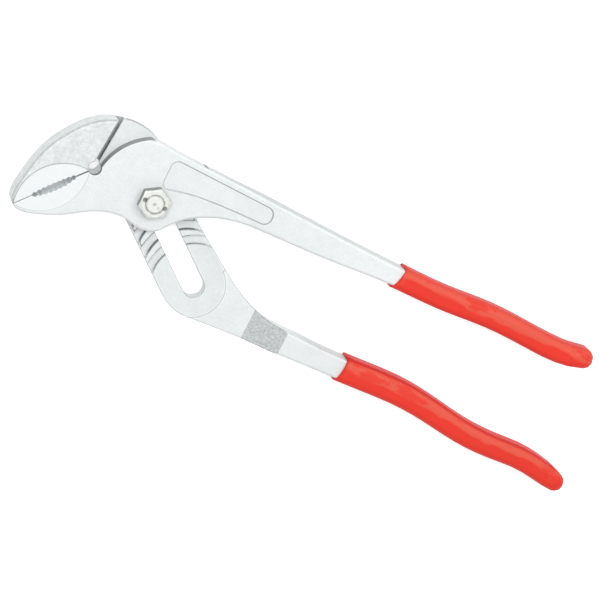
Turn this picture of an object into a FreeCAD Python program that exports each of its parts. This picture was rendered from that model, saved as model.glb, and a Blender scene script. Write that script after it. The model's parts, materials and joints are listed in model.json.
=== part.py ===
import FreeCAD, Part
import math
import os

# Tongue-and-groove slip joint pliers, jaws closed, lying on a table.
# Frame: origin at the centre of the pivot bolt head's outer face, which is the lowest face.
# +Z runs along the bolt towards its nut, +X from the jaws towards the handles,
# and +Y from the lower handle towards the upper one. Lengths are in mm, angles in degrees.

# Joint and thickness
bolt_head_thickness = 3.0
plate_thickness = 6.0            # each lever where the two lie on each other
plate_gap = 0.1                  # sliding gap between the two levers
head_gap = 0.05                  # under the bolt head, and under the nut
edge_radius = 1.2                # rounded outer edges of the forgings
opening_angle = 75.0             # how far the front lever swings open

# Slot and grooves of the rear lever
slot_angle = -38.6               # the slot's direction, seen from +Z
slot_width = 10.0
notch_pitch = 7.6
notch_count = 7
groove_inner_radius = 19.6
groove_width = 4.1
groove_depth = 2.0
groove_half_span = 64.0
tongue_side_gap = 0.25
tongue_floor_gap = 0.2
tongue_half_span = 33.0
shank_half_width = 14.3
boss_radius = 14.9
boss_step = 0.4

# Jaws
jaw_angle = 48.7                 # direction of the closed jaw line
jaw_offset = 24.6                # from the bolt axis to the jaw line
jaw_gap = 0.3                    # between the closed jaws
jaw_tip_reach = 57.3             # from the foot of that offset to the tips
jaw_throat_reach = 18.0          # to the relief hole at the throat
throat_radius = 3.1
tooth_count = 9
tooth_height = 0.6
pipe_bay_start = 48.2            # the toothed bay lies between these two reaches
pipe_bay_end = 26.8
bay_depth_front = 1.75           # hollow of the tooth tips in each jaw
bay_depth_rear = 0.65
leaf_start = 57.0                # ground flats beside the teeth
leaf_end = 20.5
leaf_width = 9.6
leaf_depth = 0.2

# Head step of the rear lever, and its machined corner relief
step_x = -31.2
step_y = 15.5
step_angle = 86.3
relief_width = 3.0
relief_depth = 2.5

# Front lever hub and plate
hub_radius = 13.8
plate_radius = 28.1
shank_clearance = 0.4

# Handles: distance along X, middle, half width
upper_handle = [(50.0, 15.2, 7.2), (74.0, 14.85, 6.45), (96.0, 14.8, 5.35), (120.0, 14.95, 4.4),
                (145.0, 14.8, 4.3), (168.0, 16.1, 4.3), (192.0, 15.1, 4.2), (208.0, 14.8, 4.0),
                (219.0, 16.2, 3.0)]
lower_handle = [(88.0, -34.9, 5.7), (104.0, -35.0, 5.1), (124.0, -34.6, 5.1), (148.0, -34.3, 5.0),
                (164.0, -36.1, 4.8), (182.0, -38.9, 4.6), (200.0, -39.6, 4.4), (216.0, -39.2, 4.3),
                (229.0, -41.2, 4.0), (237.0, -43.0, 2.9)]
handle_thickness = 10.75
upper_ramp = (32.0, 48.0)        # where the handle leaves the joint plane, and where it is full
lower_ramp = (66.8, 84.3)
grip_wall = 1.2
upper_grip_start = (118.0, 4.0)  # distance along X at the middle, and how far the mouth slants
lower_grip_start = (114.5, 1.6)
grip_mouth_sag = 1.2
grip_edge_radius = 3.6
grip_step = 6.0                  # between the cross sections of a grip
grip_end = [(0.5, 0.88), (0.95, 0.62), (1.25, 0.2)]  # reach and width, as shares of half width

# Pivot bolt and nut
neck_width = 9.9
neck_length = 10.9
neck_clearance = 0.05
bolt_head_radius = 9.0
bolt_head_edge = 0.8
pivot_diameter = 9.5
pivot_clearance = 0.05
thread_diameter = 8.0
thread_stick_out = 0.5
nut_across_flats = 13.0
nut_height = 4.7
nut_chamfer = 0.6
nut_corner_angle = 31.0
nut_cone_angle = 30.0
bolt_end_chamfer = 0.5
dimple_radius = 0.7
stake_mark_radius = 1.1
stake_mark_depth = 0.7
stake_mark_reach = 4.9
stake_mark_angles = (179.0, 1.0)

# Name plate pocket in the front lever, left bare: its corners before they are rounded
pocket_depth = 0.6
pocket_corner_radius = 3.6
pocket_corners = [(0.0, 21.4), (0.1, 6.6), (16.0, 10.3), (34.0, 11.1), (52.6, 11.2), (52.2, 19.2)]

# Curved parts of the outlines, as pairs: share of the way between two ends, and the distance
# by which the outline stands to the left of the straight line between them
chin = [(0.012, -0.9), (0.04, -2.0), (0.2, -2.9), (0.38, -2.0), (0.61, 1.8), (0.82, 3.1)]
front_waist = [(0.2, 4.2), (0.38, 5.7), (0.675, 4.75)]
front_shoulder = [(0.475, -0.25), (0.79, -0.5), (0.92, -0.8)]
head_back = [(0.004, 1.6), (0.026, 4.05), (0.12, 9.5), (0.293, 17.0), (0.513, 20.9),
             (0.711, 20.4), (0.842, 15.75), (0.936, 9.6)]
flank_stations = (-21.5, -14.0, -7.0, 0.0, 7.0, 14.0, 21.0)  # along the slot, outside it
rear_waist = [(0.197, -2.4), (0.488, -5.75), (0.726, -6.1), (0.865, -3.8)]
rear_heel = [(0.337, 2.2), (0.582, 3.75), (0.722, 4.8), (0.82, 5.05), (0.922, 3.05)]

# How finely curves are drawn, and how far the cutting shapes reach past the tool
curve_tolerance = 0.08
far = 400.0

# Levels worked out from the stack
rear_face = bolt_head_thickness + head_gap
rear_joint_face = rear_face + plate_thickness
front_joint_face = rear_joint_face + plate_gap
front_face = front_joint_face + plate_thickness
nut_seat = front_face + head_gap
upper_handle_rear = front_face - handle_thickness
lower_handle_front = rear_face + handle_thickness
travel = notch_pitch * (notch_count - 1)

Vec = FreeCAD.Vector
UP = Vec(0, 0, 1)


def turned(along, across, angle, z=0.0):
    """A point given along and across a line through the bolt axis."""
    c, s = math.cos(math.radians(angle)), math.sin(math.radians(angle))
    return Vec(along * c - across * s, along * s + across * c, z)


def slot_point(along, across, z=0.0):
    return turned(along, across, slot_angle, z)


def jaw_point(reach, height, z=0.0):
    """Reach runs from the throat to the tips; height runs across the jaw line, from the bolt."""
    return turned(-reach, height, jaw_angle, z)


def polar(radius, angle, z=0.0):
    return turned(radius, 0.0, angle, z)


def line(a, b):
    return Part.LineSegment(a, b).toShape()


def arc(a, b, c):
    return Part.Arc(a, b, c).toShape()


def curve(points):
    """A smooth line through the points, as a chain of arcs."""
    spline = Part.BSplineCurve()
    spline.interpolate(Points=points)
    return [piece.toShape() for piece in spline.toBiArcs(curve_tolerance)]


def beside(a, b, bulges):
    """Points that stand to the left of the straight line from a to b."""
    way = b - a
    left = Vec(-way.y, way.x, 0) / way.Length
    return [a + way * share + left * out for share, out in bulges]


def prism(edges, low, high):
    wire = Part.Wire(edges)
    wire.translate(Vec(0, 0, low))
    return Part.Face(wire).extrude(Vec(0, 0, high - low))


def polygon(points, low, high):
    closed = [Vec(p.x, p.y, 0) for p in points]
    closed.append(closed[0])
    return prism([line(a, b) for a, b in zip(closed, closed[1:])], low, high)


def rounded(shape, radius, wanted):
    """Round the edges that the test picks."""
    edges = [e for e in shape.Edges if e.Length > 0.5 and wanted(e)]
    return shape.makeFillet(radius, edges) if edges else shape


def lies_at(edge, z):
    box = edge.BoundBox
    return abs(box.ZMin - z) < 0.01 and abs(box.ZMax - z) < 0.01


def on_jaw_line(edge):
    """Between the jaws, or beside the throat: these edges stay sharp."""
    spots = [edge.valueAt(edge.ParameterRange[0]), edge.valueAt(edge.ParameterRange[1])]
    heights = [turned(p.x, p.y, -jaw_angle).y for p in spots]
    return all(abs(h - jaw_offset) < 1.0 for h in heights) or (
        min(abs(h - jaw_offset) for h in heights) < 1.0 and spots[0].x > -34 and spots[1].x > -34)


def on_plate_arc(edge):
    middle = edge.CenterOfMass
    return middle.x < -5 and middle.y > 0


def on_left_flank(edge):
    """The edge of the shank that runs beside the front lever's jaw."""
    across = turned(edge.CenterOfMass.x, edge.CenterOfMass.y, -slot_angle).y
    return abs(across + shank_half_width) < 0.1 and edge.Length > shank_half_width


def biggest(shape):
    return max(shape.Solids, key=lambda s: s.Volume)


THROAT = jaw_point(jaw_throat_reach, jaw_offset)


def throat_hole():
    centre = Vec(THROAT.x, THROAT.y, rear_face - 1)
    return Part.makeCylinder(throat_radius, front_face - rear_face + 2, centre, UP)


def handle_edges(stations):
    """The top edge, the round end and the bottom edge of a handle."""
    top = [Vec(x, mid + half, 0) for x, mid, half in stations]
    bottom = [Vec(x, mid - half, 0) for x, mid, half in stations]
    x, mid, half = stations[-1]
    return top, Vec(x + half, mid, 0), bottom[::-1]


def front_outline():
    """Front lever, seen from +Z: jaw, hub, underside of the handle, its end, its top, the arc."""
    top, end, bottom = handle_edges(upper_handle)
    height = jaw_offset - jaw_gap / 2
    throat = jaw_point(jaw_throat_reach, height)
    tip = jaw_point(jaw_tip_reach, height)
    hub_start, hub_end = polar(hub_radius, -108), polar(hub_radius, -48)
    arc_end = polar(plate_radius, 118)
    under = [hub_end] + beside(hub_end, bottom[-1], front_waist) + bottom[::-1]
    over = top[::-1] + beside(top[0], arc_end, front_shoulder) + [arc_end]
    return ([line(throat, tip)]
            + curve([tip] + beside(tip, hub_start, chin) + [hub_start])
            + [arc(hub_start, polar(hub_radius, -78), hub_end)]
            + curve(under + [end] + over)
            + [arc(arc_end, polar(plate_radius, 145), polar(plate_radius, 172)),
               line(polar(plate_radius, 172), throat)])


def rear_outline():
    """Rear lever, seen from +Z: jaw, back of the head, right flank, handle, left flank."""
    top, end, bottom = handle_edges(lower_handle)
    height = jaw_offset + jaw_gap / 2
    tip = jaw_point(jaw_tip_reach, height)
    throat = jaw_point(jaw_throat_reach, height)
    flank = [slot_point(along, shank_half_width) for along in flank_stations]
    heel = slot_point(41.0, -shank_half_width)
    inner = slot_point(-25.4, -shank_half_width)
    back = [tip] + beside(tip, flank[0], head_back) + flank + beside(flank[-1], top[0], rear_waist)
    return ([line(throat, tip)]
            + curve(back + top + [end] + bottom + beside(bottom[-1], heel, rear_heel) + [heel])
            + [line(heel, inner), line(inner, throat)])


def side_profile(points):
    """A solid given by its outline along X and Z, running across the tool."""
    corners = [Vec(x, -far, z) for x, z in points]
    wire = Part.makePolygon(corners + corners[:1])
    return Part.Face(wire).extrude(Vec(0, 2 * far, 0))


def ring_sector(centre, inner, outer, middle, half_span, low, high):
    """Part of a ring about a centre, for the grooves and the tongue."""
    a, b = middle - half_span, middle + half_span
    edges = [line(polar(inner, a) + centre, polar(outer, a) + centre),
             arc(polar(outer, a) + centre, polar(outer, middle) + centre, polar(outer, b) + centre),
             line(polar(outer, b) + centre, polar(inner, b) + centre),
             arc(polar(inner, b) + centre, polar(inner, middle) + centre, polar(inner, a) + centre)]
    return prism(edges, low, high)


def obround(start, stop, half_width, low, high):
    """A straight slot with round ends; start and stop are the centres of the ends."""
    along, across = slot_point(1, 0), slot_point(0, half_width)
    a, b = slot_point(start, 0), slot_point(stop, 0)
    edges = [line(a + across, b + across),
             arc(b + across, b + along * half_width, b - across),
             line(b - across, a - across),
             arc(a - across, a - along * half_width, a + across)]
    return prism(edges, low, high)


def toothed_bay(side, depth, height):
    """The cut that leaves a hollow row of teeth; side is -1 for the front lever's jaw."""
    steps = 2 * tooth_count
    base = jaw_offset + side * jaw_gap / 2
    length = pipe_bay_start - pipe_bay_end
    row = [(pipe_bay_start, base - side)]
    for i in range(steps + 1):
        share = i / steps
        hollow = depth * math.sin(math.pi * share) ** 0.7
        tooth = height if i % 2 else 0.0
        row.append((pipe_bay_start - length * share, base + side * (hollow + tooth)))
    row.append((pipe_bay_end, base - side))
    return polygon([jaw_point(r, h) for r, h in row], rear_face - 1, front_face + 1)


def leaf(side):
    """Ground flat beside the teeth, on the front face of one jaw."""
    a, b = jaw_point(leaf_start, jaw_offset), jaw_point(leaf_end, jaw_offset)
    middle = jaw_point((leaf_start + leaf_end) / 2, jaw_offset + side * leaf_width)
    return prism([arc(a, middle, b), line(b, a)], front_face - leaf_depth, front_face + 1)


def front_pocket():
    corners = [Vec(x, y, 0) for x, y in pocket_corners]
    pocket = polygon(corners, front_face - pocket_depth, front_face + 1)
    upright = [e for e in pocket.Edges if not lies_at(e, e.BoundBox.ZMin)]
    return pocket.makeFillet(pocket_corner_radius, upright)


def front_lever():
    body = prism(front_outline(), rear_face, front_face)
    # the jaw keeps its full thickness outside the path of the other lever's shank
    clear = shank_half_width + shank_clearance
    corner = polar(clear / math.cos(math.radians(opening_angle / 2)),
                   slot_angle - 90 - opening_angle / 2)
    jaw = polygon([slot_point(-far, -clear), corner, corner + polar(far, slot_angle - opening_angle),
                   Vec(-far, -far, 0)], -1, front_face + 1)
    under = side_profile([(-far, front_joint_face), (upper_ramp[0], front_joint_face),
                          (upper_ramp[1], upper_handle_rear), (far, upper_handle_rear),
                          (far, -1), (-far, -1)])
    body = biggest(body.cut(under.cut(jaw)))
    body = rounded(body, edge_radius, lambda e: lies_at(e, front_face)
                   and not on_jaw_line(e) and not on_plate_arc(e))
    body = rounded(body, edge_radius, lambda e: lies_at(e, upper_handle_rear)
                   and e.CenterOfMass.x > upper_ramp[1] + 1)
    body = rounded(body, edge_radius, lambda e: lies_at(e, rear_face)
                   and e.CenterOfMass.y < -20)
    tongue_low = front_joint_face - plate_gap - groove_depth + tongue_floor_gap
    tongue = ring_sector(Vec(0, 0, 0), groove_inner_radius + tongue_side_gap,
                         groove_inner_radius + groove_width - tongue_side_gap,
                         slot_angle + 180, tongue_half_span, tongue_low, front_joint_face + 1)
    body = body.fuse(tongue)
    bore = Part.makeCylinder(pivot_diameter / 2 + pivot_clearance, 20, Vec(0, 0, 0), UP)
    body = body.cut([bore, throat_hole(), front_pocket(), leaf(-1),
                     toothed_bay(-1, bay_depth_front, tooth_height)])
    return biggest(body.removeSplitter())


def rear_lever():
    body = prism(rear_outline(), rear_face, front_face)
    body = rounded(body, edge_radius, lambda e: lies_at(e, rear_face)
                   and not on_jaw_line(e) and not on_left_flank(e))
    wall = turned(1, 0, step_angle)
    foot = Vec(step_x, step_y, 0)
    head = polygon([foot - wall * far, foot + wall * far, Vec(-far, far, 0), Vec(-far, -far, 0)],
                   -1, front_face + 1)
    low = rear_joint_face - boss_step
    end = slot_point(travel, 0, low)
    boss = Part.makeCylinder(boss_radius, boss_step, end, UP)
    shank = polygon([slot_point(-far, -far), slot_point(travel, -far), slot_point(travel, far),
                     slot_point(-far, far)], low, rear_joint_face)
    over = side_profile([(-far, low), (lower_ramp[0], low), (lower_ramp[1], lower_handle_front),
                         (far, lower_handle_front), (far, front_face + 1), (-far, front_face + 1)])
    body = biggest(body.cut(over.cut([head, boss, shank])))
    body = rounded(body, edge_radius, lambda e: lies_at(e, lower_handle_front)
                   and e.CenterOfMass.x > lower_ramp[1] + 1)
    body = rounded(body, edge_radius, lambda e: lies_at(e, front_face)
                   and e.CenterOfMass.x < -33 and not on_jaw_line(e))
    across = Vec(wall.y, -wall.x, 0) * relief_width
    relief = polygon([foot - wall * far, foot - wall * far + across, foot + wall * far + across,
                      foot + wall * far], rear_joint_face - relief_depth, rear_joint_face + 1)
    cuts = [relief, throat_hole(), leaf(1), toothed_bay(1, bay_depth_rear, tooth_height)]
    neck_end = neck_length / 2 + neck_clearance - slot_width / 2
    cuts.append(obround(-neck_end, travel + neck_end, slot_width / 2,
                        rear_face - 1, rear_joint_face + 1))
    for notch in range(notch_count):
        cuts.append(ring_sector(slot_point(notch * notch_pitch, 0), groove_inner_radius,
                                groove_inner_radius + groove_width, slot_angle + 180,
                                groove_half_span, rear_joint_face - groove_depth,
                                rear_joint_face + 1))
    return biggest(body.cut(cuts).removeSplitter())


def smooth(stations):
    """More stations, on a smooth line through the given ones."""
    spline = Part.BSplineCurve()
    spline.interpolate(Points=[Vec(*station) for station in stations])
    count = round((stations[-1][0] - stations[0][0]) / grip_step)
    return [tuple(p) for p in spline.toShape().discretize(Number=count)]


def grip_section(x, mid, half, low, high):
    """A rectangle with round corners, across the handle."""
    bottom, top = mid - half, mid + half
    corner = min(grip_edge_radius, 0.9 * half, 0.45 * (high - low))
    turn = corner * (1 - math.sqrt(0.5))
    edges = []
    for a, b, c in [((bottom + corner, low), (top - corner, low), (top - turn, low + turn)),
                    ((top, low + corner), (top, high - corner), (top - turn, high - turn)),
                    ((top - corner, high), (bottom + corner, high), (bottom + turn, high - turn)),
                    ((bottom, high - corner), (bottom, low + corner), (bottom + turn, low + turn))]:
        edges.append([Vec(x, *p) for p in (a, b, c)])
    wire = []
    for (a, b, c), (after, _, _) in zip(edges, edges[1:] + edges[:1]):
        wire += [line(a, b), arc(b, c, after)]
    return Part.Wire(wire)


def grip(stations, mouth, low, high, steel):
    """Dipped sleeve over the end of a handle, with a curved and slanting mouth."""
    start, slant = mouth
    wide = [(x, mid, half + grip_wall) for x, mid, half in stations if x > start - 30]
    low, high = low - grip_wall, high + grip_wall
    sections = [grip_section(x, mid, half, low, high) for x, mid, half in smooth(wide)]
    x, mid, half = wide[-1]
    for share, narrow in grip_end:
        inset = (1 - narrow) * half
        sections.append(grip_section(x + share * half, mid, narrow * half, low + inset, high - inset))
    sleeve = Part.makeLoft(sections, True, True)
    x, mid, half = wide[0]
    foot = Vec(start - slant - 3 * grip_mouth_sag, mid - 2 * half, 0)
    crest = Vec(start + slant - 3 * grip_mouth_sag, mid + 2 * half, 0)
    back = Vec(-far, 0, 0)
    bare = prism([arc(foot, Vec(start + grip_mouth_sag, mid, 0), crest), line(crest, crest + back),
                  line(crest + back, foot + back), line(foot + back, foot)], low - 1, high + 1)
    return biggest(sleeve.cut([bare, steel]))


def pivot_bolt():
    head = Part.makeCylinder(bolt_head_radius, bolt_head_thickness)
    head = head.makeChamfer(bolt_head_edge, [e for e in head.Edges if lies_at(e, 0.0)])
    reach = (neck_length - neck_width) / 2
    neck = obround(-reach, reach, neck_width / 2, bolt_head_thickness - 1, rear_joint_face)
    pivot = Part.makeCylinder(pivot_diameter / 2, nut_seat, Vec(0, 0, 0), UP)
    end = nut_seat + nut_height + thread_stick_out
    thread = Part.makeCylinder(thread_diameter / 2, end, Vec(0, 0, 0), UP)
    thread = thread.makeChamfer(bolt_end_chamfer, [e for e in thread.Edges if lies_at(e, end)])
    dimple = Part.makeCone(0.1, dimple_radius, dimple_radius, Vec(0, 0, end - dimple_radius), UP)
    return biggest(head.fuse([neck, pivot, thread]).cut(dimple).removeSplitter())


def lock_nut():
    corner = nut_across_flats / math.sqrt(3)
    top = nut_seat + nut_height
    nut = polygon([polar(corner, nut_corner_angle + 60 * i) for i in range(6)], nut_seat, top)
    # the turned cone that takes the corners off the top face
    slope = math.tan(math.radians(nut_cone_angle))
    face_radius = nut_across_flats / 2 - nut_chamfer
    nut = nut.common(Part.makeCone(face_radius + nut_height / slope, face_radius, nut_height,
                                   Vec(0, 0, nut_seat), UP))
    bore = Part.makeCylinder(thread_diameter / 2, nut_height + 2, Vec(0, 0, nut_seat - 1), UP)
    marks = [Part.makeCone(0.1, stake_mark_radius, stake_mark_depth,
                           polar(stake_mark_reach, angle, top - stake_mark_depth), UP)
             for angle in stake_mark_angles]
    return biggest(nut.cut([bore] + marks))


def main():
    front, rear = front_lever(), rear_lever()
    pieces = {
        "front_lever": front,
        "rear_lever": rear,
        "pivot_bolt": pivot_bolt(),
        "lock_nut": lock_nut(),
        "front_grip": grip(upper_handle, upper_grip_start, upper_handle_rear, front_face, front),
        "rear_grip": grip(lower_handle, lower_grip_start, rear_face, lower_handle_front, rear),
    }
    os.makedirs("parts", exist_ok=True)
    for name, shape in pieces.items():
        shape.exportStep("parts/" + name + ".step")
        box = shape.BoundBox
        print(name, "valid" if shape.isValid() else "NOT VALID", round(shape.Volume, 1),
              [round(v, 2) for v in (box.XMin, box.XMax, box.YMin, box.YMax, box.ZMin, box.ZMax)])


main()
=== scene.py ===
"""Looks for a pair of tongue-and-groove slip joint pliers: blasted steel levers, a pivot bolt
with its hex nut, and dipped red grips with their blunt ends, on a pale table."""

import json
import math

import bmesh
import bpy
from bpy.props import FloatProperty, FloatVectorProperty, PointerProperty
from bpy.types import Operator, Panel, PropertyGroup
from mathutils import Matrix, Vector


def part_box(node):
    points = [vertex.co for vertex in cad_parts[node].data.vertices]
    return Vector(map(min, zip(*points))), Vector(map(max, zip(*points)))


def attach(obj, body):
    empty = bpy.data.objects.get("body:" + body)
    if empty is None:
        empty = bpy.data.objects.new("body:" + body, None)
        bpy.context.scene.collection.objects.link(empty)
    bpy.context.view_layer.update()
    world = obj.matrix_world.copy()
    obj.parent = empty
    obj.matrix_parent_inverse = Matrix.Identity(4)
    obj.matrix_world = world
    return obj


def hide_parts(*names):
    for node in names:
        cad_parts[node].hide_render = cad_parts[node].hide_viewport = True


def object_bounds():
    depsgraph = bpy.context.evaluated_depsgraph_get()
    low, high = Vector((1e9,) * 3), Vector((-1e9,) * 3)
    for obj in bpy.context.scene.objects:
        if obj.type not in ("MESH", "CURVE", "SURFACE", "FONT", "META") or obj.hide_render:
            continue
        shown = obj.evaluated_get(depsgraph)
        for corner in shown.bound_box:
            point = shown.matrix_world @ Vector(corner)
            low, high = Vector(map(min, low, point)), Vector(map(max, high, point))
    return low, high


bl_info = {
    "name": "Slip Joint Pliers",
    "version": (1, 0, 0),
    "blender": (4, 5, 0),
    "location": "3D View > Sidebar > Pliers",
    "description": "Dresses the steel, the fasteners and the dipped grips of a pair of pliers",
    "category": "Object",
}

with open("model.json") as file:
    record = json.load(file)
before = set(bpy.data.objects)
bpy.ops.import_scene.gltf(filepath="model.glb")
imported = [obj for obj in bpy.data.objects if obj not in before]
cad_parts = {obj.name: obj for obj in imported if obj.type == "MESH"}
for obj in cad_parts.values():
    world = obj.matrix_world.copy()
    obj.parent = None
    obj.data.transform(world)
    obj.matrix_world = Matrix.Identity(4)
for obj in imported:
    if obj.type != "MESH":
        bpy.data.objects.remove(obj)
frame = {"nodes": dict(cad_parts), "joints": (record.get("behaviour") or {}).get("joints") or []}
CAD_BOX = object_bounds()
MM = 0.001

# The slot's direction and the bolt's travel are those of the frame's slide joint
SLIDE = next(j for j in frame["joints"] if j["type"] == "slide")
TRAVEL = SLIDE["range_m"][1]
SLOT_DIRECTION = Vector(SLIDE["axis"]).normalized()
SLOT_ANGLE = math.atan2(SLOT_DIRECTION.y, SLOT_DIRECTION.x)

# Heights
FRONT_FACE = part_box("front_lever")[1].z
NUT_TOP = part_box("lock_nut")[1].z
JOINT_FACE = 9.05 * MM          # where the two levers lie on each other
FLANK_FACE = 8.65 * MM          # the rear lever's flank, a little below it
GROOVE_DEPTH = 2.9 * MM         # below the joint face
MOUTH_DEPTH = 2.9 * MM          # below the front face, the part of the relief hole's wall with painted shade

# The jaws, placed along and across the line on which they meet
JAW_ANGLE = math.radians(48.7)
JAW_OFFSET = 24.6 * MM          # from the bolt axis to the jaw line
LEAF_MIDDLE = 38.75 * MM        # along the jaw line, from its foot towards the tips
LEAF_HALF_LENGTH = 18.25 * MM
LEAF_WIDTH = 9.6 * MM
LEAF_LINE = 28.0 * MM           # the painted shade along the leaf's edge fades between here and the throat
TEETH = (26.8 * MM, 48.2 * MM)
TEETH_HEIGHT = 3.0 * MM
THROAT = Vector((-30.4, 2.7, 0.0)) * MM
THROAT_RADIUS = 3.5 * MM        # reaches just past the wall of the relief hole
THROAT_REACH = 18.0 * MM        # along the jaw line, where the seam starts

# The rear lever's head and joint, and the front lever's plate
HEAD_EDGE = -31.0 * MM          # the step from the head down to the joint
RELIEF_EDGE = -27.5 * MM        # the end of the sunk part beside that step
PLATE_RADIUS = 28.1 * MM
BOSS_RADIUS = 14.9 * MM         # of the raised ring round the slot's end
SLOT_HALF_WIDTH = 5.2 * MM
STRIP_HALF_WIDTH = 15.2 * MM    # of the ground strip that holds the slot
SUNK_END = 70.0 * MM            # along the slot, past the last sunk surface
GROOVE_COUNT = 7
GROOVE_INNER = 19.6 * MM
GROOVE_OUTER = 23.7 * MM
GROOVE_REACH = 13.0 * MM        # from the slot's middle, the walls that lie in the dark
LAND_REACH = 13.4 * MM          # from the slot's middle to the lands' round outer ends
LAND_CORNER = 1.3 * MM
LANDS_END = 25.0 * MM           # from the bolt, past the lands that its plate leaves bare

# The pocket on the front lever, which starts at the bolt and runs along +X
POCKET_LENGTH = 52.3 * MM
POCKET_TOP = 21.4 * MM
POCKET_SLOPE = 0.042
POCKET_BOTTOM = 11.25 * MM
POCKET_DROP = 4.65 * MM
POCKET_CORNER = 3.6 * MM

# The handles
RAMP = (66.8 * MM, 84.3 * MM)   # the slope up to the rear lever's handle
HANDLE_TIP = 212.0 * MM         # the front lever's steel past here lies inside its grip
FRONT_GRIP_MIDDLE = 15.2 * MM
REAR_GRIP_MIDDLE = -34.4 * MM
REAR_GRIP_BEND = (170.0 * MM, 34.0 * MM, 5.0 * MM)   # where, over what length, how far
GRIP_END = 20.0 * MM            # the last stretch of each grip, which the dip leaves blunt
GRIP_CAP = 14.0 * MM            # and the part of it that is solid plastic
CAP_SCALE = 1.012               # the cap stands just outside the sleeve
GRIP_THICKER = 0.08             # how much thicker a blunt end is than a plain one
WELD = 0.001 * MM

# The fasteners
NUT_BORE = 4.2 * MM
TURNED_RINGS = 9000.0           # radians per metre
STAKE_RADIUS = 1.05 * MM
STAKE_MARKS = ((-4.9 * MM, 0.09 * MM), (4.9 * MM, 0.09 * MM))
HAMMER_MARKS = ((-0.5 * MM, -0.1 * MM, 0.8 * MM), (2.0 * MM, -0.9 * MM, 0.7 * MM))

# The finishes
EDGE_HIGHLIGHT_WIDTH = 2.0 * MM           # painted highlight along the edges
EDGE_SHADE_WIDTH = 0.9 * MM            # and a narrower line of painted shade within it
EDGE_COSINE = 0.965             # between the true normal and the softened one
EDGE_SOFTNESS = 0.06
BEVEL_SAMPLES = 6
GRAIN_DEPTH = 0.16 * MM
SKIN_DEPTH = 1.1 * MM

# The photograph's view, worked out from edges and circles in it, and its light
EYE = Vector((-307.2, 207.7, 1213.8)) * MM
AIM = Vector((83.4, -14.1, 9.3)) * MM
PICTURE_UP = math.radians(117.7)
FOCAL_LENGTH = 169.9
SENSOR_WIDTH = 36.0
SKY_STRENGTH = 0.55
TABLE_GLOW = 0.5                # light that only the camera and mirrors see
LAMPS = (("overhead_lamp", (-0.5, 0.4, 1.6), 1.0, 16.0),
         ("side_lamp", (0.6, 0.7, 1.3), 0.9, 5.0))


# ---------------------------------------------------------------- shader maths

class Value:
    """A socket that can be added, multiplied and compared like a number."""

    def __init__(self, shader, socket):
        self.shader, self.socket = shader, socket

    def _math(self, operation, *inputs, clamp=False):
        return self.shader.add("ShaderNodeMath", dict(enumerate(inputs)), operation=operation,
                               use_clamp=clamp)

    def __add__(self, other):
        return self._math("ADD", self, other)

    def __radd__(self, other):
        return self._math("ADD", other, self)

    def __sub__(self, other):
        return self._math("SUBTRACT", self, other)

    def __rsub__(self, other):
        return self._math("SUBTRACT", other, self)

    def __mul__(self, other):
        return self._math("MULTIPLY", self, other)

    def __rmul__(self, other):
        return self._math("MULTIPLY", other, self)

    def __truediv__(self, other):
        return self._math("DIVIDE", self, other)

    def __neg__(self):
        return self._math("MULTIPLY", self, -1.0)

    def abs(self):
        return self._math("ABSOLUTE", self)

    def sin(self):
        return self._math("SINE", self)

    def sqrt(self):
        return self._math("SQRT", self)

    def larger(self, other):
        return self._math("MAXIMUM", self, other)

    def smaller(self, other):
        return self._math("MINIMUM", self, other)

    def over(self, edge, width):
        """0 below the edge and 1 above it, with a soft step of that width."""
        return self._math("MULTIPLY_ADD", self, 1 / width, 0.5 - edge / width, clamp=True)

    def under(self, edge, width):
        return 1 - self.over(edge, width)


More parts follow.
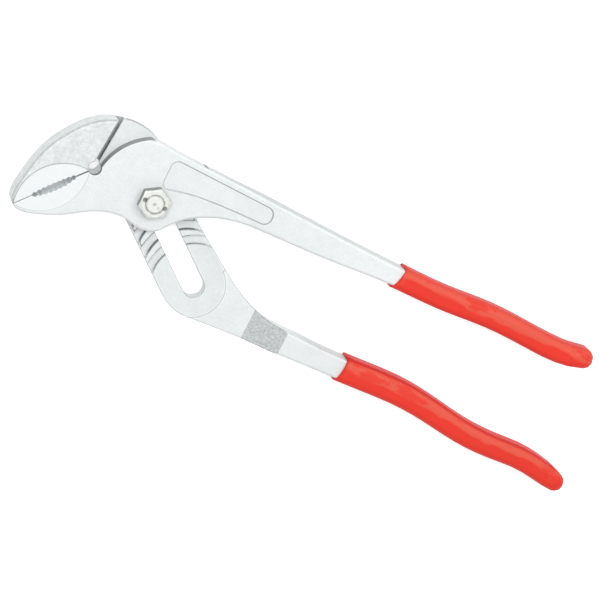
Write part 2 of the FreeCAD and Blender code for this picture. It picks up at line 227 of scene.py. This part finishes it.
class Shader:
    """A material's node tree and its principled shader."""

    def __init__(self, name):
        self.material = bpy.data.materials.new(name)
        self.material.use_nodes = True
        self.tree = self.material.node_tree
        self.principled = next(n for n in self.tree.nodes if n.type == "BSDF_PRINCIPLED")
        self.place = self.add("ShaderNodeTexCoord", output="Object")
        split = self.add("ShaderNodeSeparateXYZ", {0: self.place}, output=None)
        self.x, self.y, self.z = (Value(self, s) for s in split.outputs)

    def add(self, kind, inputs=None, output=0, **settings):
        """Adds a node; settings come first, then values or links of its sockets."""
        node = self.tree.nodes.new(kind)
        for name, value in settings.items():
            setattr(node, name, value)
        for key, value in (inputs or {}).items():
            if isinstance(value, Value):
                self.tree.links.new(value.socket, node.inputs[key])
            else:
                node.inputs[key].default_value = value
        return node if output is None else Value(self, node.outputs[output])

    def set(self, name, value):
        """Gives an input of the principled shader a number, a colour or a link."""
        socket = self.principled.inputs[name]
        if isinstance(value, Value):
            self.tree.links.new(value.socket, socket)
        else:
            socket.default_value = (*value, 1.0) if isinstance(value, tuple) else value

    def along(self, angle):
        """Distance along and across a line through the origin, at an angle from +X."""
        c, s = math.cos(angle), math.sin(angle)
        return self.x * c + self.y * s, self.y * c - self.x * s

    def distance_to(self, x, y):
        dx, dy = self.x - x, self.y - y
        return (dx * dx + dy * dy).sqrt()

    def normal_part(self, axis):
        """How far the surface faces along one axis of the object."""
        facing = self.add("ShaderNodeNewGeometry", output="Normal")
        split = self.add("ShaderNodeSeparateXYZ", {0: facing}, output=None)
        return Value(self, split.outputs[axis])

    def softened_normal(self, radius):
        """The surface's normal, turned over edges as if they were that round."""
        return self.add("ShaderNodeBevel", {"Radius": radius}, samples=BEVEL_SAMPLES)

    def edge_share(self, radius):
        """0 on open surface, and more within that distance of an edge."""
        soft = self.softened_normal(radius)
        true = self.add("ShaderNodeNewGeometry", output="True Normal")
        same = self.add("ShaderNodeVectorMath", {0: soft, 1: true}, output=1,
                        operation="DOT_PRODUCT")
        return same.under(EDGE_COSINE, EDGE_SOFTNESS)

    def noise(self, scale, detail=3.0, roughness=0.5, place=None):
        return self.add("ShaderNodeTexNoise", {"Vector": place or self.place, "Scale": scale,
                                               "Detail": detail, "Roughness": roughness})

    def stretched(self, angle, factors):
        """Object coordinates turned about Z and squeezed, for marks that run one way."""
        return self.add("ShaderNodeMapping", {"Vector": self.place, "Rotation": (0, 0, angle),
                                              "Scale": factors})

    def blend(self, share, first, second):
        """Mixes two colours, either of which may be a link or three numbers."""
        pick = lambda c: c if isinstance(c, Value) else (*c, 1.0)
        mixed = self.add("ShaderNodeMix", {0: share, 6: pick(first), 7: pick(second)},
                         output=None, data_type="RGBA")
        return Value(self, mixed.outputs[2])

    def tint(self, colour, factor):
        """A colour made lighter or darker by a factor that changes over the surface."""
        grey = self.add("ShaderNodeCombineXYZ", {0: factor, 1: factor, 2: factor})
        pick = colour if isinstance(colour, Value) else tuple(colour)
        return self.add("ShaderNodeVectorMath", {0: pick, 1: grey}, operation="MULTIPLY")

    def bump(self, height, distance, strength=1.0, edge=0.0):
        """Raises the surface by a pattern, over edges softened by that radius."""
        inputs = {"Height": height, "Distance": distance, "Strength": strength}
        if edge:
            inputs["Normal"] = self.softened_normal(edge)
        self.set("Normal", self.add("ShaderNodeBump", inputs))


class Steel(Shader):
    """Plated steel with a fine blasted grain: bright faces, walls darker partly for their forged
    finish and partly as painted shade, and painted highlight and shade along the edges.
    """

    def __init__(self, name, colour, grain, wall_shade, rim_shade):
        super().__init__(name)
        self.colour = colour
        self.facing = self.normal_part(2).abs()
        self.walls = self.facing.under(0.6, 0.4)
        fine = self.noise(1300.0 * grain, 4.0, 0.65)
        broad = self.noise(170.0 * grain, 4.0, 0.6)
        specks = self.noise(2600.0 * grain, 2.0, 0.5).over(0.62, 0.1)
        self.shade = 1.0 + ((fine - 0.5) * 0.22 + (broad - 0.5) * 0.14 + specks * 0.05)
        # walls darker: partly the forged finish, partly painted shade
        self.darken(self.walls, wall_shade)
        # a painted highlight along the edges, and a thin line of painted shade within it
        self.lighten(self.edge_share(EDGE_HIGHLIGHT_WIDTH), 0.06)
        self.darken(self.edge_share(EDGE_SHADE_WIDTH), rim_shade)
        self.rough = 0.45 + 0.15 * fine
        self.height = fine * 0.7 + broad * 0.3

    def lighten(self, share, amount):
        self.shade = self.shade * (1 + amount * share)

    def darken(self, share, amount):
        self.shade = self.shade * (1 - amount * share)

    def top_face(self, depth=0.5 * MM):
        """1 on what lies no deeper than that under the front face."""
        return self.z.over(FRONT_FACE - depth, 0.2 * MM)

    def finish(self):
        """Links the gathered shade, roughness and height to the principled shader."""
        self.set("Metallic", 0.3)
        self.set("Base Color", self.tint(self.colour, self.shade))
        self.set("Roughness", self.rough)
        self.bump(self.height, GRAIN_DEPTH, 0.6, edge=0.45 * MM)
        return self.material


def paint(node, material):
    """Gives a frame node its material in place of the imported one."""
    mesh = frame["nodes"][node].data
    mesh.materials.clear()
    mesh.materials.append(material)


# ---------------------------------------------------------------- jaws, on both levers

def jaw_place(steel):
    """Distance towards the tips from the jaw line's foot, and the height above the jaw line."""
    along, across = steel.along(JAW_ANGLE)
    return -along, across - JAW_OFFSET


def grind_leaf(steel, side, line_shade):
    """The ground flat beside the teeth: an arc's segment, bright, smooth and edged with a fine
    line of painted shade.
    """
    reach, height = jaw_place(steel)
    radius = (LEAF_HALF_LENGTH ** 2 + LEAF_WIDTH ** 2) / (2 * LEAF_WIDTH)
    away, off = reach - LEAF_MIDDLE, height - side * (LEAF_WIDTH - radius)
    inside = radius - (away * away + off * off).sqrt()
    face = steel.top_face()
    leaf = inside.over(0.0, 0.1 * MM) * face
    leaf_edge_shade = inside.abs().under(0.16 * MM, 0.2 * MM) * face
    leaf_edge_shade = leaf_edge_shade * (0.15 + 0.85 * reach.over(LEAF_LINE, 10.0 * MM))
    marks = steel.noise(900.0, 2.0, 0.5, steel.stretched(-JAW_ANGLE, (0.12, 1.0, 1.0)))
    steel.shade = steel.shade * (1 - leaf) + leaf * (1.09 + 0.05 * marks)
    steel.darken(leaf_edge_shade, line_shade)
    steel.rough = steel.rough - leaf * (0.16 - 0.08 * marks)
    steel.height = steel.height * (1 - 0.85 * leaf)


def light_teeth(steel):
    """Painted light on the walls of the teeth, which lie in shade between the jaws: strongest in
    the middle of the row.
    """
    reach, height = jaw_place(steel)
    bay = reach.over(TEETH[0], 0.3 * MM) * reach.under(TEETH[1], 0.3 * MM)
    off_middle = (reach - (TEETH[0] + TEETH[1]) / 2) / ((TEETH[1] - TEETH[0]) / 2)
    lift = 0.38 - 0.28 * off_middle * off_middle
    steel.lighten(bay * height.abs().under(TEETH_HEIGHT, MM) * steel.walls, lift)


def darken_seam(steel):
    """Painted shade in the gap where the two jaws meet, wider between the relief hole and the
    teeth.
    """
    reach, height = jaw_place(steel)
    past_throat = reach.over(THROAT_REACH, 0.5 * MM)
    wide = past_throat * reach.under(TEETH[0], 0.5 * MM)
    half_width = 0.14 * MM + 0.22 * MM * wide
    seam_shade = (half_width - height.abs()).over(0.0, 0.15 * MM)
    steel.darken(seam_shade * steel.top_face() * past_throat, 0.7)


def shade_throat(steel, rim_shade):
    """The wall of the relief hole where the jaws meet: lightened with painted light, with a rim of
    painted shade at its opening.
    """
    hole = steel.distance_to(THROAT.x, THROAT.y).under(THROAT_RADIUS, 0.2 * MM) * steel.walls
    mouth_shade = steel.z.over(FRONT_FACE - MOUTH_DEPTH, 0.8 * MM)
    steel.lighten(hole, 0.3)
    steel.darken(hole * mouth_shade, rim_shade)


# ---------------------------------------------------------------- front lever

def outline_pocket(steel):
    """A fine pressed line around the bare name plate pocket, with painted shade on it and a
    painted highlight just inside.
    """
    taper = 1 - steel.x / POCKET_LENGTH
    top = POCKET_TOP - POCKET_SLOPE * steel.x
    bottom = POCKET_BOTTOM - POCKET_DROP * taper * taper * taper * taper
    beyond_side = (steel.y - (top + bottom) * 0.5).abs() - (top - bottom) * 0.5 + POCKET_CORNER
    beyond_end = (steel.x - POCKET_LENGTH / 2).abs() - POCKET_LENGTH / 2 + POCKET_CORNER
    side, end = beyond_side.larger(0.0), beyond_end.larger(0.0)
    corner = (side * side + end * end).sqrt()
    outside = corner + beyond_side.larger(beyond_end).smaller(0.0) - POCKET_CORNER
    face = steel.top_face(depth=MM)
    dark = outside.abs().under(0.2 * MM, 0.2 * MM) * face
    light = (outside + 0.5 * MM).abs().under(0.22 * MM, 0.2 * MM) * face
    # painted shade on the pressed line, and a painted highlight just inside it
    steel.darken(dark, 0.2)
    steel.lighten(light, 0.06)
    steel.height = steel.height - 1.5 * dark


def front_lever_finish(chosen):
    steel = Steel("front_lever_steel", chosen.steel, chosen.grain, wall_shade=0.06, rim_shade=0.08)
    grind_leaf(steel, -1.0, 0.17)
    light_teeth(steel)
    darken_seam(steel)
    shade_throat(steel, 0.7)
    outline_pocket(steel)
    # painted shade on the plate's curved wall, in the recess beside the head
    plate_wall_shade = (steel.distance_to(0.0, 0.0) - PLATE_RADIUS).abs().under(0.5 * MM, 0.4 * MM)
    steel.darken(plate_wall_shade * steel.walls * steel.y.over(2.0 * MM, 2.0 * MM), 0.6)
    # lighter towards the handle's end: painted light
    handle = steel.x.over(80.0 * MM, 60.0 * MM)
    steel.lighten(handle, 0.07)
    # painted shade on the handle's side walls
    handle_side_shade = steel.walls * steel.x.over(15.0 * MM, 30.0 * MM)
    steel.darken(handle_side_shade, 0.2)
    in_grip = steel.x.over(HANDLE_TIP, 0.1 * MM)
    steel.colour = steel.blend(in_grip, tuple(chosen.steel), tuple(chosen.grip))
    return steel.finish()


# ---------------------------------------------------------------- rear lever

def outline_grooves(steel, along, aside, joint):
    """Painted shade along the edges of the arc grooves; the lands between them have round outer
    ends.
    """
    spacing = TRAVEL / (GROOVE_COUNT - 1)
    rings, grooves = [], []
    for number in range(GROOVE_COUNT):
        centre = SLOT_DIRECTION * (number * spacing)
        ring = steel.distance_to(centre.x, centre.y)
        beyond = (GROOVE_INNER - ring).larger(ring - GROOVE_OUTER)
        rings.append(ring)
        grooves.append(beyond.larger(along - number * spacing))
    from_groove = grooves[0]
    for beyond in grooves[1:]:
        from_groove = from_groove.smaller(beyond)
    into_land = (LAND_CORNER - from_groove).larger(0.0)
    into_end = (LAND_CORNER - (LAND_REACH - aside)).larger(0.0)
    rim = (into_land * into_land + into_end * into_end).sqrt() - LAND_CORNER
    past_last = rings[-1].over(GROOVE_INNER + 0.4 * MM, 0.3 * MM)
    among = past_last * rings[0].under(LANDS_END, MM) * joint
    line = rim.abs().under(0.28 * MM, 0.25 * MM) * among
    steel.darken(line * aside.over(SLOT_HALF_WIDTH, 0.2 * MM), 0.6)


def finish_joint(steel):
    """The ground strip round the slot, the sunk grooves in it and the boss at its end."""
    along, across = steel.along(SLOT_ANGLE)
    aside = across.abs()
    in_joint = steel.x.over(HEAD_EDGE, 0.5 * MM) * aside.under(STRIP_HALF_WIDTH, 0.3 * MM)
    ground = in_joint * steel.z.over(FLANK_FACE + 0.2 * MM, 0.1 * MM)
    ground = ground * steel.z.under(JOINT_FACE + 0.2 * MM, 0.2 * MM)
    sunk = in_joint * steel.z.under(FLANK_FACE - 0.3 * MM, 0.8 * MM)
    sunk = sunk * steel.z.over(JOINT_FACE - GROOVE_DEPTH, 0.4 * MM) * along.under(SUNK_END, MM)
    rings = steel.noise(800.0, 2.0, 0.5, steel.stretched(-SLOT_ANGLE, (1.0, 0.25, 1.0)))
    steel.darken(ground, 0.03 - 0.06 * rings)
    # painted shade in the sunk surfaces
    steel.darken(sunk, 0.03)
    shaded_side = across.over(9.0 * MM, 9.0 * MM) * along.under(50.0 * MM, 20.0 * MM)
    steel.darken(ground * shaded_side, 0.06)
    beside_slot = aside.over(SLOT_HALF_WIDTH + 0.1 * MM, 0.2 * MM)
    # painted shade on the groove walls
    groove_walls = sunk * steel.walls * beside_slot * aside.under(GROOVE_REACH, MM)
    steel.darken(groove_walls, 0.7)
    # painted shade in the relief beside the head's step
    relief = sunk * steel.x.under(RELIEF_EDGE, 0.5 * MM)
    steel.darken(relief, 0.45)
    slot_end = SLOT_DIRECTION * TRAVEL
    boss_edge = steel.distance_to(slot_end.x, slot_end.y) - BOSS_RADIUS
    # painted highlight along the edge of the boss
    boss_highlight = boss_edge.abs().under(0.6 * MM, 0.3 * MM) * along.over(TRAVEL, 2.0 * MM)
    steel.lighten(boss_highlight * steel.facing.over(0.9, 0.04), 0.13)
    outline_grooves(steel, along, aside, (ground + sunk).smaller(1.0))
    steel.rough = steel.rough - ground * 0.08
    steel.height = steel.height * (1 - 0.5 * ground)


def roughen_ramp(steel):
    """The slope up to the handle: coarse and pitted, and darker, partly for its finish and partly
    as painted shade on the tilted face.
    """
    slope = steel.x.over(RAMP[0], 0.4 * MM) * steel.x.under(RAMP[1], 0.4 * MM)
    slope = slope * steel.facing.over(0.9, 0.04) * steel.z.over(FLANK_FACE - MM, 0.2 * MM)
    pits = steel.noise(1000.0, 3.0, 0.8)
    # darker: the coarse pitted finish and painted shade on the tilted face
    steel.darken(slope, 0.87 - 0.94 * pits)
    steel.height = steel.height + slope * pits


def rear_lever_finish(chosen):
    steel = Steel("rear_lever_steel", chosen.steel, chosen.grain, wall_shade=0.04, rim_shade=0.36)
    steel.shade = steel.shade * 1.02
    head = steel.x.under(HEAD_EDGE, 0.5 * MM)
    blotches = steel.noise(420.0, 5.0, 0.75)
    steel.lighten(head, 0.65 * (blotches - 0.5) - 0.1)
    grind_leaf(steel, 1.0, 0.32)
    light_teeth(steel)
    darken_seam(steel)
    shade_throat(steel, 0.0)
    # painted shade on the head's rounded edges, which dims their highlight
    head_edge_shade = steel.facing.over(0.2, 0.2) * steel.facing.under(0.98, 0.02)
    steel.darken(head * head_edge_shade, 0.22)
    # painted shade on the handle's side walls
    handle_side_shade = steel.walls * steel.x.over(90.0 * MM, 10.0 * MM)
    steel.darken(handle_side_shade, 0.16)
    finish_joint(steel)
    roughen_ramp(steel)
    return steel.finish()


# ---------------------------------------------------------------- fasteners

def bolt_finish(chosen):
    """The bolt, whose threaded end carries faint hammer marks."""
    steel = Steel("pivot_bolt_steel", chosen.fastener, chosen.grain, wall_shade=0.3, rim_shade=0.1)
    end = steel.z.over(NUT_TOP, 0.1 * MM)
    for x, y, radius in HAMMER_MARKS:
        steel.darken(steel.distance_to(x, y).under(radius, 0.6 * MM) * end, 0.2)
    return steel.finish()


def nut_finish(chosen):
    """The nut's face is turned, and its six sides are darker."""
    steel = Steel("lock_nut_steel", chosen.fastener, chosen.grain, wall_shade=0.65, rim_shade=0.2)
    from_bolt = steel.distance_to(0.0, 0.0)
    face = steel.z.over(NUT_TOP - 0.2 * MM, 0.1 * MM)
    for x, y in STAKE_MARKS:
        steel.darken(steel.distance_to(x, y).under(STAKE_RADIUS, 0.3 * MM), 0.6)
    grime_and_shade = steel.noise(500.0, 3.0, 0.6)
    # painted shade in the gap round the bolt's end, broken up by the grime pattern
    bore_shade = (from_bolt - NUT_BORE).abs().under(0.4 * MM, 0.5 * MM)
    steel.darken(bore_shade * grime_and_shade.over(0.42, 0.2), 0.5)
    steel.darken(grime_and_shade.over(0.55, 0.2), 0.12)
    steel.height = steel.height + 0.15 * (from_bolt * TURNED_RINGS).sin() * face
    return steel.finish()


# ---------------------------------------------------------------- grips

def front_grip_middle(_x):
    """The height in Y at which the middle of the upper grip runs, which is straight."""
    return FRONT_GRIP_MIDDLE


def rear_grip_middle(x):
    """The same for the lower grip, which bends away from the other one."""
    start, length, drop = REAR_GRIP_BEND
    return REAR_GRIP_MIDDLE - x.over(start, length) * drop


def dipped_red(name, colour, middle_line, crease_shade_amount):
    """Dipped plastic: an even red with a soft gloss, a painted highlight on one side of its middle
    line, and painted shade in the crease and on its steep sides.
    """
    skin = Shader(name)
    waves = skin.noise(55.0, 2.0, 0.5, skin.stretched(0.0, (0.3, 1.0, 1.0)))
    folds = skin.noise(130.0, 2.0, 0.55, skin.stretched(0.25, (0.35, 1.0, 1.0)))
    pores = skin.noise(900.0, 2.0, 0.5)
    facing = skin.normal_part(2)
    beside = skin.y - middle_line(skin.x)
    wander = (folds - 0.5) * 8.0 * MM
    highlight_side = (beside + wander).over(0.6 * MM, 1.4 * MM) * facing.over(0.5, 0.5)
    patches = (folds + pores * 0.1).over(0.62, 0.05) * facing.over(0.6, 0.3)
    crease_shade = facing.over(0.2, 0.2) * facing.under(0.66, 0.25) * beside.over(2.0 * MM, MM)
    highlight_red = (colour[0] * 0.98, colour[1] + 0.055, colour[2] + 0.035)
    shade_red = (colour[0] * 0.82, colour[1] * 0.3, colour[2] * 0.4)
    # painted highlight on one side of the middle line, broken by patches
    red = skin.blend(highlight_side * (1 - patches * 0.8), tuple(colour), highlight_red)
    # painted shade in the crease, and on the steep sides
    red = skin.blend(crease_shade * crease_shade_amount, red, shade_red)
    red = skin.blend(0.35 * facing.under(0.25, 0.2), red, shade_red)
    skin.set("Base Color", skin.tint(red, 0.95 + 0.1 * waves))
    skin.set("Roughness", 0.45 + 0.12 * waves)
    skin.set("Coat Weight", 0.04)
    skin.set("Coat Roughness", 0.25)
    skin.set("Specular IOR Level", 0.2)
    skin.bump(waves * 0.5 + folds * 0.42 + pores * 0.08, SKIN_DEPTH, 0.4)
    return skin.material


def blunt_grip(node, name, material, shorten, fuller_above, fuller_below):
    """The dipped sleeve with the blunt, thick end that a dip leaves, in place of the plain one."""
    shape = bmesh.new()
    shape.from_mesh(frame["nodes"][node].data)
    bmesh.ops.remove_doubles(shape, verts=shape.verts, dist=WELD)
    tip = max(vert.co.x for vert in shape.verts)
    end = [vert for vert in shape.verts if vert.co.x > tip - GRIP_END]
    near_tip = [vert.co for vert in end if vert.co.x > tip - GRIP_END / 3]
    middle = sum(near_tip, Vector()) / len(near_tip)
    for vert in end:
        share = ((vert.co.x - tip) / GRIP_END + 1) ** 1.5
        off = vert.co - middle
        vert.co.x -= shorten * share
        vert.co.y += off.y * share * (fuller_above if off.y > 0 else fuller_below)
        vert.co.z += off.z * share * GRIP_THICKER
    cap = [shape.verts.new(middle + (vert.co - middle) * CAP_SCALE)
           for vert in end if vert.co.x > tip - GRIP_CAP]
    for vert in end + cap:
        vert.co.y = max(vert.co.y, CAD_BOX[0][1])   # the fuller end keeps to the solids' box
    bmesh.ops.convex_hull(shape, input=cap)
    bmesh.ops.delete(shape, geom=[vert for vert in cap if not vert.link_faces], context="VERTS")
    mesh = bpy.data.meshes.new(name)
    shape.to_mesh(mesh)
    shape.free()
    mesh.shade_smooth()
    mesh.materials.append(material)
    piece = bpy.data.objects.new(name, mesh)
    bpy.context.scene.collection.objects.link(piece)
    return piece


# ---------------------------------------------------------------- stage

def add_camera(scene):
    lens = bpy.data.cameras.new("camera")
    lens.lens = FOCAL_LENGTH
    lens.sensor_width = SENSOR_WIDTH
    lens.clip_start, lens.clip_end = 0.05, 20.0
    camera = bpy.data.objects.new("camera", lens)
    scene.collection.objects.link(camera)
    back = (EYE - AIM).normalized()
    hint = Vector((math.cos(PICTURE_UP), math.sin(PICTURE_UP), 0.0))
    right = hint.cross(back).normalized()
    up = back.cross(right)
    turn = Matrix((right, up, back)).transposed().to_4x4()
    camera.matrix_world = Matrix.Translation(EYE) @ turn
    scene.camera = camera


def add_lamp(scene, name, place, size, power):
    lamp = bpy.data.lights.new(name, "AREA")
    lamp.shape, lamp.size, lamp.energy = "DISK", size, power
    holder = bpy.data.objects.new(name, lamp)
    holder.location = place
    holder.rotation_euler = (AIM - Vector(place)).to_track_quat("-Z", "Y").to_euler()
    scene.collection.objects.link(holder)


def table_finish():
    """A pale table that the camera sees as white, and that keeps the object's shadow."""
    table = Shader("table_white")
    table.set("Base Color", (0.82, 0.82, 0.82))
    table.set("Roughness", 0.9)
    table.set("Specular IOR Level", 0.1)
    ray = table.add("ShaderNodeLightPath", output=None)
    seen = [Value(table, ray.outputs[n]) for n in
            ("Is Camera Ray", "Is Glossy Ray", "Is Transmission Ray")]
    glow = (seen[0] + seen[1] + seen[2]) * TABLE_GLOW
    lift = table.add("ShaderNodeEmission", {"Strength": glow})
    both = table.add("ShaderNodeAddShader",
                     {0: Value(table, table.principled.outputs[0]), 1: lift})
    output = next(n for n in table.tree.nodes if n.type == "OUTPUT_MATERIAL")
    table.tree.links.new(both.socket, output.inputs["Surface"])
    return table.material


def add_table(scene, side):
    mesh = bpy.data.meshes.new("table_top")
    shape = bmesh.new()
    bmesh.ops.create_grid(shape, x_segments=1, y_segments=1, size=side / 2)
    shape.to_mesh(mesh)
    shape.free()
    mesh.materials.append(table_finish())
    table = bpy.data.objects.new("table_top", mesh)
    scene.collection.objects.link(table)


def set_world(scene):
    world = bpy.data.worlds.new("studio")
    world.use_nodes = True
    shine = next(n for n in world.node_tree.nodes if n.type == "BACKGROUND")
    shine.inputs["Color"].default_value = (1.0, 1.0, 1.0, 1.0)
    shine.inputs["Strength"].default_value = SKY_STRENGTH
    scene.world = world


# ---------------------------------------------------------------- settings and operators

def colour_setting(name, description, default):
    return FloatVectorProperty(name=name, description=description, subtype="COLOR", size=3,
                               default=default, min=0.0, max=1.0)


class PliersSettings(PropertyGroup):
    """Sizes and colours of the pliers' finishes and of the stage."""
    steel: colour_setting("Lever Steel", "Colour of the plated levers", (0.74, 0.77, 0.772))
    fastener: colour_setting("Fastener Steel", "Colour of bolt and nut", (0.75, 0.775, 0.735))
    grip: colour_setting("Grip Red", "Colour of the dipped grips", (0.755, 0.038, 0.023))
    grain: FloatProperty(name="Blast Grain", description="Fineness of the blasted texture",
                         default=1.0, min=0.2, max=4.0)
    floor_size: FloatProperty(name="Floor Size", description="Side of the pale table top",
                              default=6.0, min=1.0, unit="LENGTH")


def settings(context):
    return context.scene.pliers


class PLIERS_OT_levers(Operator):
    """Give both forged levers their blasted and ground steel"""
    bl_idname = "pliers.levers"
    bl_label = "Dress Levers"

    def execute(self, context):
        paint("front_lever", front_lever_finish(settings(context)))
        paint("rear_lever", rear_lever_finish(settings(context)))
        return {"FINISHED"}


class PLIERS_OT_fasteners(Operator):
    """Give the pivot bolt and its nut their turned steel"""
    bl_idname = "pliers.fasteners"
    bl_label = "Dress Bolt and Nut"

    def execute(self, context):
        paint("pivot_bolt", bolt_finish(settings(context)))
        paint("lock_nut", nut_finish(settings(context)))
        return {"FINISHED"}


class PLIERS_OT_grips(Operator):
    """Give both dipped grips their blunt ends and their red skin"""
    bl_idname = "pliers.grips"
    bl_label = "Dress Grips"

    def execute(self, context):
        red = settings(context).grip
        front_skin = dipped_red("front_grip_red", red, front_grip_middle, 0.15)
        rear_skin = dipped_red("rear_grip_red", red, rear_grip_middle, 0.85)
        front = blunt_grip("front_grip", "front_dipped_sleeve", front_skin, 1.2 * MM, 0.4, 0.08)
        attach(front, "front_lever")
        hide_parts("front_grip")
        rear = blunt_grip("rear_grip", "rear_dipped_sleeve", rear_skin, 1.7 * MM, 0.3, 0.05)
        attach(rear, "rear_lever")
        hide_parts("rear_grip")
        return {"FINISHED"}


class PLIERS_OT_stage(Operator):
    """Set the pale table, the soft studio light and the photograph's camera"""
    bl_idname = "pliers.stage"
    bl_label = "Set Stage"

    def execute(self, context):
        scene = context.scene
        scene.view_settings.view_transform = "Standard"
        set_world(scene)
        add_table(scene, settings(context).floor_size)
        for lamp in LAMPS:
            add_lamp(scene, *lamp)
        add_camera(scene)
        return {"FINISHED"}


OPERATORS = (PLIERS_OT_levers, PLIERS_OT_fasteners, PLIERS_OT_grips, PLIERS_OT_stage)


class PLIERS_PT_panel(Panel):
    """Lists the steps that dress the pliers"""
    bl_label = "Pliers"
    bl_idname = "PLIERS_PT_panel"
    bl_space_type = "VIEW_3D"
    bl_region_type = "UI"
    bl_category = "Pliers"

    def draw(self, context):
        for name in PliersSettings.__annotations__:
            self.layout.prop(settings(context), name)
        for operator in OPERATORS:
            self.layout.operator(operator.bl_idname)


CLASSES = (PliersSettings, *OPERATORS, PLIERS_PT_panel)


def register():
    for each in CLASSES:
        bpy.utils.register_class(each)
    bpy.types.Scene.pliers = PointerProperty(type=PliersSettings)


def unregister():
    del bpy.types.Scene.pliers
    for each in reversed(CLASSES):
        bpy.utils.unregister_class(each)


def main():
    register()
    for operator in OPERATORS:
        group, step = operator.bl_idname.split(".")
        getattr(getattr(bpy.ops, group), step)()


if __name__ == "__main__":
    main()
